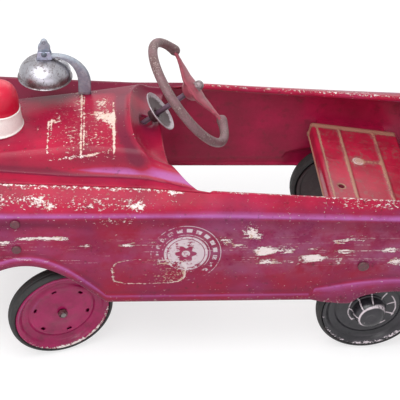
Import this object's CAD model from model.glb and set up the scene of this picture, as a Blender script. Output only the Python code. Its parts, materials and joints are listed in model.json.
import json
from math import acos, atan2, copysign, cos, degrees, exp, hypot, pi, radians, sin, sqrt

import bmesh
import bpy
from mathutils import Euler, Matrix, Vector


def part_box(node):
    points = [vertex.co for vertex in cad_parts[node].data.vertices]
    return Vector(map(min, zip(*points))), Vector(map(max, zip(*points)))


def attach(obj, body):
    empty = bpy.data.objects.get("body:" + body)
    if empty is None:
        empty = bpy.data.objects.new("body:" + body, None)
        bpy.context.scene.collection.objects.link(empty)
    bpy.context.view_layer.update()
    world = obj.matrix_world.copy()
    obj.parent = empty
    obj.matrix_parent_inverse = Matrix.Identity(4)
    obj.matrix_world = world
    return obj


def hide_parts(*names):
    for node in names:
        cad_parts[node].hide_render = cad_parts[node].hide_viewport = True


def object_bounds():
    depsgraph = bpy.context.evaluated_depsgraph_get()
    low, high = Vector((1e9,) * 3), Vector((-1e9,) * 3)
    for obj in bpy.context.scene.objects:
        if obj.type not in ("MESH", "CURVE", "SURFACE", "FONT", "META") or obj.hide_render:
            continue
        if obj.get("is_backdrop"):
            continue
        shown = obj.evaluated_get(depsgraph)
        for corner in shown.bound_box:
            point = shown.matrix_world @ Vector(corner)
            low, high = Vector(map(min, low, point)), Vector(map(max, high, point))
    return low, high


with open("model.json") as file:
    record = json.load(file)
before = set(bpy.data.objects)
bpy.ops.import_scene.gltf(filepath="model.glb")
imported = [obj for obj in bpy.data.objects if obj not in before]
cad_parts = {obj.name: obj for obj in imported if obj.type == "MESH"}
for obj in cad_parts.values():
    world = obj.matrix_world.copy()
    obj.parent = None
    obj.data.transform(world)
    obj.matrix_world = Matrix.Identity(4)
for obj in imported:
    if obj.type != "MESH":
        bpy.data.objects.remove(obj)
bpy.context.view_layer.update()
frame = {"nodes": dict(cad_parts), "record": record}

slotOf = {part["node"]: part["material_slot"] for part in frame["record"]["subparts"]}
bothSides = ((1, "left"), (-1, "right"))


def arithmetic(operation, swapped=False):  # a method that joins two values by a Math node
    def combine(self, other):
        first, second = (other, self) if swapped else (self, other)
        return self.net.add("ShaderNodeMath", {"operation": operation}, {0: first, 1: second})
    return combine


class Signal:  # a socket in a material; arithmetic on it adds Math nodes
    def __init__(self, net, socket):
        self.net, self.socket = net, socket

    __add__ = __radd__ = arithmetic("ADD")
    __mul__ = __rmul__ = arithmetic("MULTIPLY")
    __sub__, __rsub__ = arithmetic("SUBTRACT"), arithmetic("SUBTRACT", True)
    __truediv__, __pow__ = arithmetic("DIVIDE"), arithmetic("POWER")
    lesser, angleTo = arithmetic("MINIMUM"), arithmetic("ARCTAN2")

    def math(self, operation):
        return self.net.add("ShaderNodeMath", {"operation": operation}, {0: self})

    def above(self, edge, soft=0.02):  # 0 below the edge, 1 above it
        limits = {"Value": self, "From Min": edge - soft, "From Max": edge + soft}
        return self.net.add("ShaderNodeMapRange", {}, limits)

    def below(self, edge, soft=0.02):
        return 1 - self.above(edge, soft)

    def near(self, middle, width, soft):
        return (self - middle).math("ABSOLUTE").below(width, soft)

    def between(self, low, high, soft):
        return self.above(low, soft) * self.below(high, soft)


class Net:  # one material's nodes
    def __init__(self, name):
        self.material = bpy.data.materials.new(name)
        self.material.use_nodes = True
        self.tree = self.material.node_tree
        self.shader = self.tree.nodes["Principled BSDF"]
        self.place, self.parts = None, None

    def feed(self, socket, value):
        if isinstance(value, Signal):
            self.tree.links.new(value.socket, socket)
        elif hasattr(value, "__len__") and len(socket.default_value) == 4:
            socket.default_value = (*value[:3], 1)
        else:
            socket.default_value = value

    def add(self, kind, settings, inputs, output=0):
        node = self.tree.nodes.new(kind)
        for name, value in settings.items():
            setattr(node, name, value)
        for key, value in inputs.items():
            if isinstance(key, str):
                key = next(i for i, s in enumerate(node.inputs) if key in (s.identifier, s.name))
            self.feed(node.inputs[key], value)
        if isinstance(output, int):
            return Signal(self, node.outputs[output])
        return Signal(self, next(s for s in node.outputs if output in (s.identifier, s.name)))

    def mix(self, mask, a, b):  # a colour may be given by its name in tone
        sockets = {"Factor_Float": mask, "A_Color": tone.get(a, a), "B_Color": tone.get(b, b)}
        return self.add("ShaderNodeMix", {"data_type": "RGBA"}, sockets, "Result_Color")

    def position(self):
        if not self.place:
            self.place = self.add("ShaderNodeTexCoord", {}, {}, "Object")
        return self.place

    def axes(self):  # x, y and z in metres
        if not self.parts:
            node = self.add("ShaderNodeSeparateXYZ", {}, {0: self.position()}).socket.node
            self.parts = [Signal(self, s) for s in node.outputs]
        return self.parts

    def noise(self, scale, detail=3, rough=0.55, stretch=None):
        where = self.position()
        if stretch:
            where = self.add("ShaderNodeMapping", {}, {"Vector": where, "Scale": stretch})
        sockets = {"Vector": where, "Scale": scale, "Detail": detail, "Roughness": rough}
        return self.add("ShaderNodeTexNoise", {}, sockets)

    def attribute(self, name):
        return self.add("ShaderNodeAttribute", {"attribute_name": name}, {}, "Fac")

    def away(self, centre, axes="xz"):  # distance in metres and angle from a point in the plane of two axes
        parts = dict(zip("xyz", self.axes()))
        a, b = (parts[letter] - at for letter, at in zip(axes, centre))
        return (a * a + b * b).math("SQRT"), b.angleTo(a)

    def finish(self, colour, rough, metal=0.0, bump=None, depth=0.0005, **fixed):
        for name, value in (("Base Color", colour), ("Roughness", rough), ("Metallic", metal)):
            self.feed(self.shader.inputs[name], value)
        if bump is not None:
            sockets = {"Height": bump, "Strength": 1.0, "Distance": depth}
            self.feed(self.shader.inputs["Normal"], self.add("ShaderNodeBump", {}, sockets))
        for name, value in fixed.items():
            self.feed(self.shader.inputs[name.replace("_", " ")], value)
        return self.material


# meshes: sizes below are in millimetres and are written in metres here
def mm(*point):
    return Vector(point) / 1000


def newObject(name, mesh, look, body, node=None, smooth=True):
    thing = bpy.data.objects.new(name, mesh)
    bpy.context.scene.collection.objects.link(thing)
    mesh.materials.append(looks[look])
    mesh.polygons.foreach_set("use_smooth", [smooth] * len(mesh.polygons))
    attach(thing, body)
    if node:
        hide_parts(node)
    return thing


def fromAxis(point, line):  # line: (a point on the axis, its direction, radius)
    gap, along = Vector(point) - Vector(line[0]), Vector(line[1]).normalized()
    return gap - along * gap.dot(along)


def gridMesh(name, rows, creases={}, flip=False, holes=None, rounds=()):
    mesh, shape = bpy.data.meshes.new(name), bmesh.new()
    grid = [[shape.verts.new(mm(*p)) for p in row] for row in rows]
    weight = shape.edges.layers.float.new("crease_edge")
    for low, high in zip(grid, grid[1:]):
        for a, b, c, d in zip(low, high, high[1:], low[1:]):
            middle = (a.co + c.co) * 500
            inHole = holes and holes(middle)
            if not inHole and all(fromAxis(middle, line).length >= line[2] for line in rounds):
                shape.faces.new((a, b, c, d) if flip else (d, c, b, a))
        for j, sharp in creases.items():
            edge = shape.edges.get((low[j], high[j]))
            if edge:
                edge[weight] = sharp
    for line in rounds:  # a hole's edge is drawn out to a true circle about its axis
        for vert in shape.verts:
            gap = fromAxis(vert.co * 1000, line)
            if gap.length < 2 * line[2] and any(len(e.link_faces) == 1 for e in vert.link_edges):
                vert.co += gap * (line[2] / gap.length - 1) / 1000
    for vert in [v for v in shape.verts if not v.link_faces]:
        shape.verts.remove(vert)
    shape.to_mesh(mesh)
    shape.free()
    return mesh


def loft(name, rings, matrix=Matrix(), closed=False, capped=True, skip=None):  # a skin over rings of points
    mesh, shape = bpy.data.meshes.new(name), bmesh.new()
    loops = [[shape.verts.new(matrix @ mm(*p)) for p in ring] for ring in rings]
    for i, (low, high) in enumerate(zip(loops, loops[1:] + loops[:1] * closed)):
        for k in range(max(len(low), len(high))):
            corners = [loop[n % len(loop)] for loop, n in ((low, k), (low, k + 1), (high, k + 1), (high, k))]
            corners = list(dict.fromkeys(corners))  # a ring may be a single point
            if len(corners) > 2 and not (skip and skip(i, k)):
                shape.faces.new(corners)
    if capped:
        shape.faces.new(loops[0])
        shape.faces.new(loops[-1])
    bmesh.ops.recalc_face_normals(shape, faces=shape.faces)
    shape.to_mesh(mesh)
    shape.free()
    return mesh


def turns(steps):
    return [2 * pi * k / steps for k in range(steps)]


def lathe(name, profile, matrix, steps, closed=False, gaps=None):  # profile: (radius, along), turned about Z
    def skip(i, k):
        return gaps and gaps(profile[i], profile[(i + 1) % len(profile)], 2 * pi * (k + 0.5) / steps)

    rings = [[(r * cos(a), r * sin(a), z) for a in turns(steps if r else 1)] for r, z in profile]
    return loft(name, rings, matrix, closed, False, skip)


def turnedPiece(name, profile, matrix, steps, look, body, node=None, slot=None, **more):
    return newObject(name, lathe(name, profile, matrix, steps, **more), look, body, node)


def sweep(name, points, radii, matrix, sides):  # a rod along points, with rounded ends
    points, last = [Vector(p) for p in points], len(points) - 1
    ahead = [(points[min(i + 1, last)] - points[max(i - 1, 0)]).normalized() for i in range(last + 1)]
    across, rings = ahead[0].orthogonal().normalized(), []
    for i, (point, direction, radius) in enumerate(zip(points, ahead, radii)):
        across = (across - direction * across.dot(direction)).normalized()
        up = direction.cross(across)
        for lean in [-80, -55, -28] * (i == 0) + [0] + [28, 55, 80] * (i == last):
            centre, r = point + direction * radius * sin(radians(lean)), radius * cos(radians(lean))
            rings.append([centre + (across * cos(a) + up * sin(a)) * r for a in turns(sides)])
    return loft(name, rings, matrix)


def plate(name, outline, low, high, matrix):  # an outline in the plane of X and Y, filled between two heights
    return loft(name, [[(x, y, z) for x, y in outline] for z in (low, high)], matrix)


def subdivide(thing, levels):
    step = thing.modifiers.new("Smooth", "SUBSURF")
    step.levels = step.render_levels = levels


def thicken(thing, thickness, offset=-1.0):
    step = thing.modifiers.new("Sheet", "SOLIDIFY")
    step.thickness, step.offset = thickness / 1000, offset
    return step


def rounded(thing, width, segments=2, angle=40):
    step = thing.modifiers.new("Edges", "BEVEL")
    step.width, step.segments, step.limit_method = width / 1000, segments, "ANGLE"
    step.angle_limit = radians(angle)


def wearOn(thing, rule, spots=(), name="wear"):  # each spot: (x, y, z, reach along x, reach across, strength)
    layer = thing.data.attributes.new(name, "FLOAT", "POINT")
    for i, vert in enumerate(thing.data.vertices):
        p = vert.co * 1000
        total = rule(p)
        for x, y, z, long, wide, strength in spots:
            away = ((p.x - x) / long) ** 2 + ((p.y - y) / wide / 2) ** 2 + ((p.z - z) / wide) ** 2
            if away < 9:
                total += strength * exp(-away)
        layer.data[i].value = total


def arc(centre, radius, start, end, steps):  # points on an arc, angles in degrees
    turn = [radians(start + (end - start) * k / steps) for k in range(steps + 1)]
    return [(centre[0] + radius * cos(a), centre[1] + radius * sin(a)) for a in turn]


def moved(*point):
    return Matrix.Translation(mm(*point))


def facing(origin, along, across=(0, 1, 0)):  # a frame whose Z runs along and whose Y is nearest to across
    z = Vector(along).normalized()
    x = Vector(across).cross(z).normalized()
    return moved(*origin) @ Matrix((x, z.cross(x), z)).transposed().to_4x4()


def turned(distance, radius, most=0.97):  # how far a rounded corner has turned in
    return radius * (1 - sqrt(1 - min(most, max(0, distance) / radius) ** 2))


def clamp(value, low=0.0, high=1.0):
    return max(low, min(high, value))


def wave(x, middle, half):
    return cos(pi / 2 * min(1, abs(x - middle) / half))


def hump(x, width):
    return exp(-(x / width) ** 2)


def slope(a, b, k):
    return a + (b - a) * k


# the body's stampings, in the same sizes as the frame
shell = dict(noseX=500, tailX=500, sideHalf=217, beltHalf=181, beltHalfFront=170, beltMidZ=375, creaseZ=345,
             creaseInset=5, rockerZ=141, beadRise=18, noseCorner=60, tailCorner=85, noseRoll=48,
             tailRoll=70, sheet=2, gap=0.3, archX=352, archHalf=147, archRise=96, archLip=20, rearX=-350,
             rearHalf=88, rearRise=30, tipX=-183, flareHalf=165, flareFoot=30, flareRise=54, proud=4,
             lipTurn=7, openSide=91, openCorner=43, openTip=18, cockpitX=101, deckX=428, cowlX=160,
             cowlZ=431, hoodFrontZ=392, crownHalf=82, cowlShoulder=104, foldHalf=106, foldRate=0.112,
             foldSweep=0.00065, foldSweepX=240, foldZ=368, dashDepth=36, dashRun=25, crownDrop=5,
             shoulderFall=10, beadHigh=1.8, beadWide=4, lipFoot=339, lipSpread=0.26)
rollX = shell["noseX"] - shell["noseRoll"]


def endTurn(x, front, back):  # how far the corner or the roll at either end has turned
    return turned(x - shell["noseX"] + shell[front], shell[front]) + turned(
        -x - shell["tailX"] + shell[back], shell[back])


def planIn(x):
    return endTurn(x, "noseCorner", "tailCorner")


def rollDown(x):
    return endTurn(x, "noseRoll", "tailRoll")


def beltY(x):
    return slope(shell["beltHalf"], shell["beltHalfFront"], clamp(x / 150)) - planIn(x) * 0.86


def beltZ(x):
    return shell["beltMidZ"] + (0.045 if x > 0 else 0.067) * x - rollDown(x)


def creaseAt(x):
    return min(shell["creaseZ"] + 0.033 * min(0, x), beltZ(x) - 12)


def frontEdge(x):
    return shell["archRise"] * wave(x, shell["archX"], shell["archHalf"])


def edgeZ(x):
    bow = sqrt(1 - min(1, abs(x - shell["rearX"]) / shell["rearHalf"]) ** 2)
    rear = shell["rearRise"] * bow - 7 * clamp((shell["tipX"] - x) / 60)
    return shell["rockerZ"] + frontEdge(x) + rear + 1.2 * max(0, x - 480) + 0.6 * max(0, -x - 450)


def lipZ(x):
    rise = slope(shell["beadRise"], shell["archLip"], min(1, frontEdge(x) / 20))
    flare = wave(x, shell["tipX"] - shell["flareHalf"], shell["flareHalf"])
    flareLine = shell["rockerZ"] + slope(shell["flareFoot"], shell["flareRise"], flare)
    return max(edgeZ(x) + rise, flareLine if x < shell["tipX"] else 0)


def sideSection(x):
    by, bz, cz = beltY(x), beltZ(x) - shell["sheet"] - shell["gap"], creaseAt(x)
    sy = shell["sideHalf"] - planIn(x)
    cy, lz, ez = sy - shell["creaseInset"], lipZ(x), edgeZ(x)
    out = shell["proud"] * clamp((shell["tipX"] - x) / 25 if x < shell["tipX"] else frontEdge(x) / 30)
    top = [(by - 11, bz - 9), (by - 12, bz - 2), (by - 7, bz + 2)]
    if x > shell["openTip"] or x < -shell["deckX"]:  # covered by the hood or the deck
        top = [(by - 11, bz - 6), (by - 9, bz - 5), (by - 4, bz - 2.2)]
    shoulder = [(slope(by, cy, a) + b, slope(bz, cz, c)) for a, b, c in (
        (0.2, 0.8, 0.15), (0.42, 2, 0.34), (0.66, 2.4, 0.56), (0.87, 1.6, 0.8))]
    crease = [(cy - 0.4, cz + 2), (cy + 0.8, cz - 5)]
    wall = [(sy - 4.2 * (1 - k / 24) ** 2, slope(cz - 5, lz + 9, k / 24)) for k in range(3, 24)]
    lip = [(sy - 0.2, lz + 9), (sy - 0.4, lz + 3), (sy + out * 0.6 + 0.6, lz), (sy + out + 1.5, lz - 3),
           (sy + out + 1.4, ez + 7), (sy + out + 0.4, ez + 2.5), (sy + out - 2.5, ez + 0.6),
           (sy + out - shell["lipTurn"], ez)]
    return top + [(by - 0.6, bz + 0.4), (by + 1, bz - 0.8)] + shoulder + crease + wall + lip


def bodyStations():
    corner, tail = shell["noseX"] - shell["noseCorner"], shell["tailX"] - shell["tailCorner"]
    ends = [corner + shell["noseCorner"] * 0.975 * sin(pi / 2 * k / 12) for k in range(13)]
    back = [-tail - shell["tailCorner"] * 0.975 * sin(pi / 2 * k / 14) for k in range(15)]
    feet = [205, 207, 211, -183, -186, -176, 19, 17, -262]  # ends of the arches, the flare and the opening
    middle = [x for x in range(-406, 440, 9) if min(abs(x - f) for f in feet) > 3]
    return sorted(set(back + middle + feet + ends))


def crownZ(x):
    k = (rollX - x) / (rollX - shell["cowlX"])
    return slope(shell["hoodFrontZ"], shell["cowlZ"], k) - rollDown(x)


def towardCowl(x):
    return clamp((270 - x) / 125, 0, 1.7) ** 1.3


def shoulderY(x):
    return slope(shell["crownHalf"], shell["cowlShoulder"], towardCowl(x)) - planIn(x) * 0.5


def foldY(x):
    sweepBack = shell["foldSweep"] * max(0, shell["foldSweepX"] - x) ** 2
    spread = shell["foldRate"] * (400 - min(x, 440)) + sweepBack
    return min(beltY(x) - 6, shell["foldHalf"] + spread - planIn(x) * 0.5)


def hoodY(x, t):
    if t <= 1:
        return t * shoulderY(x)
    return slope(shoulderY(x), foldY(x), t - 1) if t <= 2 else slope(foldY(x), beltY(x), t - 2)


def beadX(y):
    return shell["cowlX"] - 16 * (abs(y) / 100) ** 3.2


def sideFall(x, u):  # rounded near the shoulder and hollow below it, the more so at the cowl
    return slope(1 - cos(pi / 2 * u), (1 - cos(pi * u)) / 2, 0.35 + 0.5 * clamp((330 - x) / 150))


def hoodZ(x, t):
    bead = beadX(hoodY(x, t))
    at = max(x, bead)
    crown, fold = crownZ(at), min(beltZ(at) - 3, shell["foldZ"] + 9 * towardCowl(at) - rollDown(at) * 0.6)
    shoulder = crown - shell["crownDrop"] - shell["shoulderFall"] * towardCowl(at)
    dash = shell["dashDepth"] * (1 - exp(-max(0, bead - x) / shell["dashRun"]))
    if t <= 1:
        z = slope(crown, shoulder, t * t) - dash
    elif t <= 2:
        z = slope(shoulder, fold, sideFall(at, t - 1)) - dash * (2 - t) ** 2
    else:
        z = slope(fold, beltZ(x), t - 2)
    return z + shell["beadHigh"] * hump(x - bead, shell["beadWide"]) * clamp(2.9 - t)


def rearX(t):  # the hood's edge at the cockpit
    if t <= 1:
        return slope(shell["cockpitX"], shell["openSide"], t ** 3)
    if t <= 2:
        return slope(shell["openSide"], shell["openCorner"], (t - 1) ** 1.7)
    return slope(shell["openCorner"], shell["openTip"], t - 2)


def hoodPoint(s, t):  # s runs 0 to 1 from the nose to the cowl, to 2 at the bead and to 3 at the opening
    start, a = shell["cowlX"] + 16, abs(t)
    if s <= 0.2:
        x = rollX + shell["noseRoll"] * 0.96 * sin(pi / 2 * (1 - s / 0.2))
    elif s <= 1:
        x = slope(rollX, start, (s - 0.2) / 0.8)
    else:
        bead = max(rearX(a) + 4, beadX(hoodY(shell["cowlX"] - 20 * clamp(a - 1), a)))
        x = slope(start, bead, s - 1) if s <= 2 else slope(bead, rearX(a), s - 2)
    return (x, copysign(hoodY(x, a), t), hoodZ(x, a))


hoodSteps = [0.04 * k for k in range(5)] + [0.2 + 0.02 * k for k in range(40)]
hoodSteps += [1 + k / 10 for k in range(21)]
halfColumns = [k / 7 for k in range(8)] + [k / 10 for k in range(11, 21)] + [k / 5 for k in range(11, 16)]
hoodColumns = [-t for t in reversed(halfColumns[1:])] + halfColumns


# materials: places in them are in metres, on the frame's axes
tone = dict(crimson=(0.47, 0.01, 0.05), deep=(0.27, 0.008, 0.036), rose=(0.5, 0.07, 0.12),
            faded=(0.34, 0.12, 0.19), violet=(0.47, 0.14, 0.42), plum=(0.21, 0.016, 0.075),
            shade=(0.115, 0.008, 0.032), chip=(0.88, 0.77, 0.74), bareHood=(0.72, 0.46, 0.34),
            tan=(0.52, 0.3, 0.19), rust=(0.11, 0.035, 0.02), dirt=(0.045, 0.018, 0.018),
            seat=(0.5, 0.012, 0.052), seatDeep=(0.3, 0.008, 0.03), seatEdge=(0.25, 0.105, 0.095),
            inner=(0.5, 0.008, 0.075), innerDeep=(0.3, 0.006, 0.045), wheel=(0.4, 0.008, 0.105),
            wheelDeep=(0.22, 0.007, 0.06), rubber=(0.016, 0.017, 0.017), pedal=(0.02, 0.02, 0.022),
            dusty=(0.042, 0.038, 0.036), black=(0.012, 0.0115, 0.015), blackWorn=(0.027, 0.024, 0.03),
            innerBlack=(0.03, 0.01, 0.014), innerDust=(0.05, 0.035, 0.035), white=(0.72, 0.64, 0.67),
            chrome=(0.6, 0.59, 0.61), tarnish=(0.36, 0.29, 0.2), steel=(0.24, 0.21, 0.21),
            bell=(0.4, 0.395, 0.43), bellWorn=(0.15, 0.12, 0.125), pit=(0.1, 0.075, 0.07),
            rim=(0.2, 0.1, 0.112), rimGrey=(0.105, 0.05, 0.048), rimPale=(0.42, 0.31, 0.3),
            bar=(0.4, 0.075, 0.11), barDeep=(0.26, 0.05, 0.07), brass=(0.42, 0.29, 0.12),
            cream=(1, 1, 0.93), creamAged=(0.9, 0.87, 0.74), lens=(0.6, 0.003, 0.036),
            lensDeep=(0.48, 0.003, 0.028), plating=(0.27, 0.31, 0.38), platingPale=(0.42, 0.45, 0.5),
            lug=(0.5, 0.52, 0.66), lugWorn=(0.34, 0.38, 0.5), eye=(0.03, 0.035, 0.05),
            eyeWorn=(0.06, 0.06, 0.08), rivet=(0.13, 0.16, 0.2), rivetWorn=(0.24, 0.27, 0.3),
            collar=(0.46, 0.4, 0.43), collarDark=(0.06, 0.03, 0.035), nut=(0.3, 0.24, 0.25),
            nutDark=(0.13, 0.08, 0.08), screw=(0.15, 0.03, 0.05), screwWorn=(0.095, 0.04, 0.04),
            shaft=(0.13, 0.06, 0.105), shaftWorn=(0.07, 0.035, 0.05))
layout = dict(  # where marks and wear lie, in metres
    rectangle=[(0.312, 0.004, 0.097, 0.0016), (0.306, 0.006, 0.06, 0.001), (0.251, -0.08, 0.101, 0.0016),
               (0.246, -0.07, 0.095, 0.001), (0.191, -0.036, 0.109, 0.0022)],
    rectangleEdges=[(0.101, 0.192, 0.312, 0.0012), (-0.084, 0.212, 0.262, 0.0012)],
    badge=(0.061, 0.262), badgeDisc=0.04, badgeRing=0.054, badgeEdge=0.064, patch=(0.126, 0.219),
    patchSize=(0.068, 0.029), band=(0.23, 0.308), stud=(-0.312, -0.073), cap=(-0.312, 0.101),
    capTop=(-0.308, 0.1016))


def paintBase(net, base, deep, scale=1.0):  # two tones in clouds, with fine grain
    cloud, grain = net.noise(11 * scale, 4, 0.62), net.noise(190 * scale, 5, 0.72)
    colour = net.mix(cloud.above(0.47, 0.17), deep, base)
    return net.mix(grain.above(0.62, 0.09) * 0.16, colour, "rose"), cloud, grain


def chipped(net, colour, field, edge, chip="chip"):  # bare where the field is over the edge, rust round it
    bare, rusted = field.above(edge, 0.01), field.above(edge - 0.022, 0.014)
    under = net.mix(net.noise(95, 4, 0.7).above(0.6, 0.06), chip, "tan")
    return net.mix(bare, net.mix(rusted * 0.55, colour, "rust"), under), bare, rusted


def badgeMask(net, x, z, left):  # a plain round badge: a disc with a rosette, and a ring of dashes
    r, angle = net.away(layout["badge"])
    petals = r - ((angle * 6).math("COSINE") * 0.0035 + 0.0165)
    disc = r.below(layout["badgeDisc"], 0.0007) * (1 - r.near(0.0345, 0.0008, 0.0004))
    disc = disc * petals.above(0, 0.0006) + r.below(0.0075, 0.0006)
    dashes = (angle * 19).math("COSINE").above(-0.25, 0.12) * r.near(layout["badgeRing"], 0.0038, 0.0006)
    edges = [r.near(at, 0.0006, 0.0004) for at in (layout["badgeEdge"], layout["badgeDisc"] + 0.004)]
    kept = left - (x - layout["badge"][0]) * 0.9 + (z - layout["badge"][1]) * 0.8
    ring = (dashes + edges[0] + edges[1]) * kept.above(0.505, 0.02)
    return (disc * (left + z * 0.5).above(0.59, 0.02) + ring).lesser(1)


def bodyPaint():
    net = Net("BodyPaint")
    x, y, z = net.axes()
    colour, cloud, grain = paintBase(net, "crimson", "deep")
    patchy, sheen = net.noise(34, 5, 0.68), net.attribute("sheen")
    side = y.math("ABSOLUTE").above(0.192, 0.006) * z.below(0.352, 0.006)
    colour = net.mix(side * 0.78, colour, net.mix(cloud.above(0.5, 0.14), "plum", "deep"))
    bloom = patchy.above(0.5, 0.08) * z.between(0.215, 0.33, 0.022) * side
    colour = net.mix(bloom * (x.below(0.11, 0.12) * 0.28 + 0.1), colour, "faded")
    film = net.noise(17, 4, 0.6, stretch=(0.5, 1, 1))
    colour = net.mix(film.above(0.54, 0.09) * 0.13 * z.below(0.36, 0.02), colour, "violet")
    colour = net.mix((sheen * -1).above(0.5, 0.5) * 0.75, colour, "shade")
    colour = net.mix((sheen * (patchy * 0.9 + film * 0.9 + 0.08)).above(0.5, 0.42) * 0.82, colour, "violet")
    colour = net.mix(net.noise(70, 5, 0.74).above(0.64, 0.04) * 0.5, colour, "dirt")
    # chips: fine flecks, blocks that run along the side where tape took the paint off, and lines on the hood
    fleck = net.noise(230, 4, 0.75, stretch=(0.62, 0.8, 1.2))
    block = net.noise(120, 4, 0.74, stretch=(0.26, 0.6, 1.9))
    mixed = z.between(*layout["band"], 0.014) * side * (block - fleck) * 0.66 + fleck
    scratch = net.noise(30, 3, 0.6, stretch=(0.2, 2, 19)).above(0.625, 0.01) * fleck.above(0.5, 0.03)
    scratch = scratch * z.between(0.236, 0.296, 0.01) * side * patchy.above(0.45, 0.04)
    lines = 0
    for at, low, high, half in layout["rectangle"]:
        lines = x.near(at, half, 0.0012) * y.between(low, high, 0.004) + lines
    for at, low, high, half in layout["rectangleEdges"]:
        lines = y.near(at, half, 0.0014) * x.between(low, high, 0.003) + lines
    inside = x.between(0.19, 0.312, 0.006) * y.between(-0.06, 0.1, 0.01)
    lines = (lines * 0.125 + inside * 0.038) * z.above(0.382, 0.003)
    (patchX, patchZ), (wide, high) = layout["patch"], layout["patchSize"]
    along, up = (x - patchX) / wide + film * 0.3 - 0.15, (z - patchZ) / high + patchy * 0.3 - 0.15
    oval = along.math("ABSOLUTE") ** 4 + up.math("ABSOLUTE") ** 4
    patch = (oval.near(1, 0.14, 0.12) * 0.155 + oval.below(1, 0.1) * x.below(0.115, 0.02) * 0.085) * side
    field = mixed * 0.7 + grain * 0.3 + net.attribute("wear") * 0.3 + lines + patch
    colour, bare = chipped(net, colour, field, 0.635)[:2]
    colour = net.mix(bare * z.above(0.4, 0.004) * 0.55, colour, "bareHood")
    colour = net.mix(bare * oval.below(1, 0.1) * side * cloud.above(0.47, 0.05) * 0.8, colour, "tan")
    badge = badgeMask(net, x, z, patchy * 0.5 + fleck * 0.5) * side
    colour = net.mix(scratch * 0.85, net.mix(badge * 0.86, colour, "white"), "chip")
    rough = cloud * 0.14 + patchy * 0.12 + bare * 0.3 + badge * 0.2 + bloom * 0.14 + 0.17
    bump = grain * 0.22 + patchy * 0.25 - bare * 0.6
    return net.finish(colour, rough, 0.0, bump, 0.00035, Specular_IOR_Level=0.2)


def wornPaint(name, base, deep, amount, rough, grime, scale=1.0, sheen=None, gain=1.0, chip="chip"):
    net = Net(name)
    colour, cloud, grain = paintBase(net, base, deep, scale)
    streak = net.noise(150 * scale, 5, 0.75)
    if sheen:
        colour = net.mix(net.attribute("sheen").above(0.5, 0.45) * 0.8, colour, sheen)
    colour = net.mix(net.noise(42 * scale, 5, 0.7).above(0.6, 0.07) * grime, colour, "dirt")
    field = streak * 0.62 + grain * 0.3 + (net.attribute("wear") * gain + amount) * 0.42
    colour, bare, rusted = chipped(net, colour, field, 0.66, chip)
    rough = cloud * 0.2 + rough - 0.1 + rusted * 0.28
    return net.finish(colour, rough, 0.0, grain * 0.25 - bare * 0.6, 0.00035, Specular_IOR_Level=0.36)


def seatPaint():  # worn through along the ribs and round the edges, to a brown film of dirt
    net = Net("SeatPaint")
    colour, cloud, grain = paintBase(net, "seat", "seatDeep", 1.4)
    worn = net.attribute("wear")
    film = net.noise(60, 5, 0.74) * 0.6 + grain * 0.4 + worn * 0.35
    colour = net.mix(film.above(0.565, 0.05) * 0.7, colour, "seatEdge")
    rings = net.away(layout["stud"], "xy")[0]
    colour = net.mix(rings.below(0.0125, 0.0008) * (0.45 + (rings * 1400).math("SINE") * 0.2), colour, "chip")
    scuff = grain * 0.5 + net.noise(24, 3, 0.6, stretch=(6, 0.5, 1)) * 0.5 + worn * 0.3
    scuff = scuff.above(0.66, 0.015)
    colour = net.mix(scuff * 0.6, colour, "tan")
    return net.finish(colour, cloud * 0.2 + film * 0.35 + 0.12, 0.0, grain * 0.4 - scuff * 0.3, 0.0004)


def capPaint():  # black, with a pale ring, strokes and an inner ring put on by hand
    net = Net("CapPaint")
    cloud, grain = net.noise(45, 5, 0.7), net.noise(210, 5, 0.74)
    r, angle = net.away(layout["cap"])
    top = net.away(layout["capTop"])[0]
    wobble = net.noise(24, 2, 0.5) * 0.006 - 0.003
    outer = (r + wobble).near(0.0465, 0.0011, 0.0005) * ((angle * 4 + 0.6).math("COSINE").above(-0.72, 0.1))
    inner = (top + wobble * 0.5).near(0.0262, 0.0016, 0.0006)
    strokes = (angle * 9 + wobble * 160).math("COSINE").above(0.945, 0.022)
    strokes = strokes * r.between(0.03, 0.0475, 0.001) * top.above(0.028, 0.001)
    painted = (outer + inner + strokes).lesser(1) * (cloud * 0.4 + grain * 0.6).above(0.43, 0.03)
    painted = painted * r.below(0.05, 0.001)
    nicks = (cloud * 0.5 + grain * 0.5 + net.attribute("wear") * 0.3).above(0.66, 0.012)
    colour = net.mix(nicks, net.mix(cloud.above(0.5, 0.12), "black", "blackWorn"), "white")
    colour = net.mix(painted * 0.92, colour, "white")
    return net.finish(colour, cloud * 0.3 + painted * 0.3 + 0.16, 0.0, grain * 0.3 + painted * 0.5, 0.0003)


def plainWorn(name, base, other, rough=0.5, metal=0.0, share=0.55, scale=1.0, depth=0.0004, spots=None,
              spotShare=0.62, grime=0.35):
    net = Net(name)
    cloud, grain = net.noise(45 * scale, 5, 0.68), net.noise(260 * scale, 4, 0.7)
    mixed = cloud * 0.7 + grain * 0.3 + net.attribute("wear") * 0.3
    colour = net.mix(mixed.above(share, 0.07), base, other)
    if spots:
        colour = net.mix((cloud * 0.35 + grain * 0.65).above(spotShare, 0.03), colour, spots)
    colour = net.mix(grain.above(0.58, 0.1) * grime, colour, "dirt")
    metalness = mixed.below(share, 0.07) * metal if metal else 0.0
    return net.finish(colour, cloud * 0.3 + grain * 0.15 + rough - 0.22, metalness, grain + cloud, depth)


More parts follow.
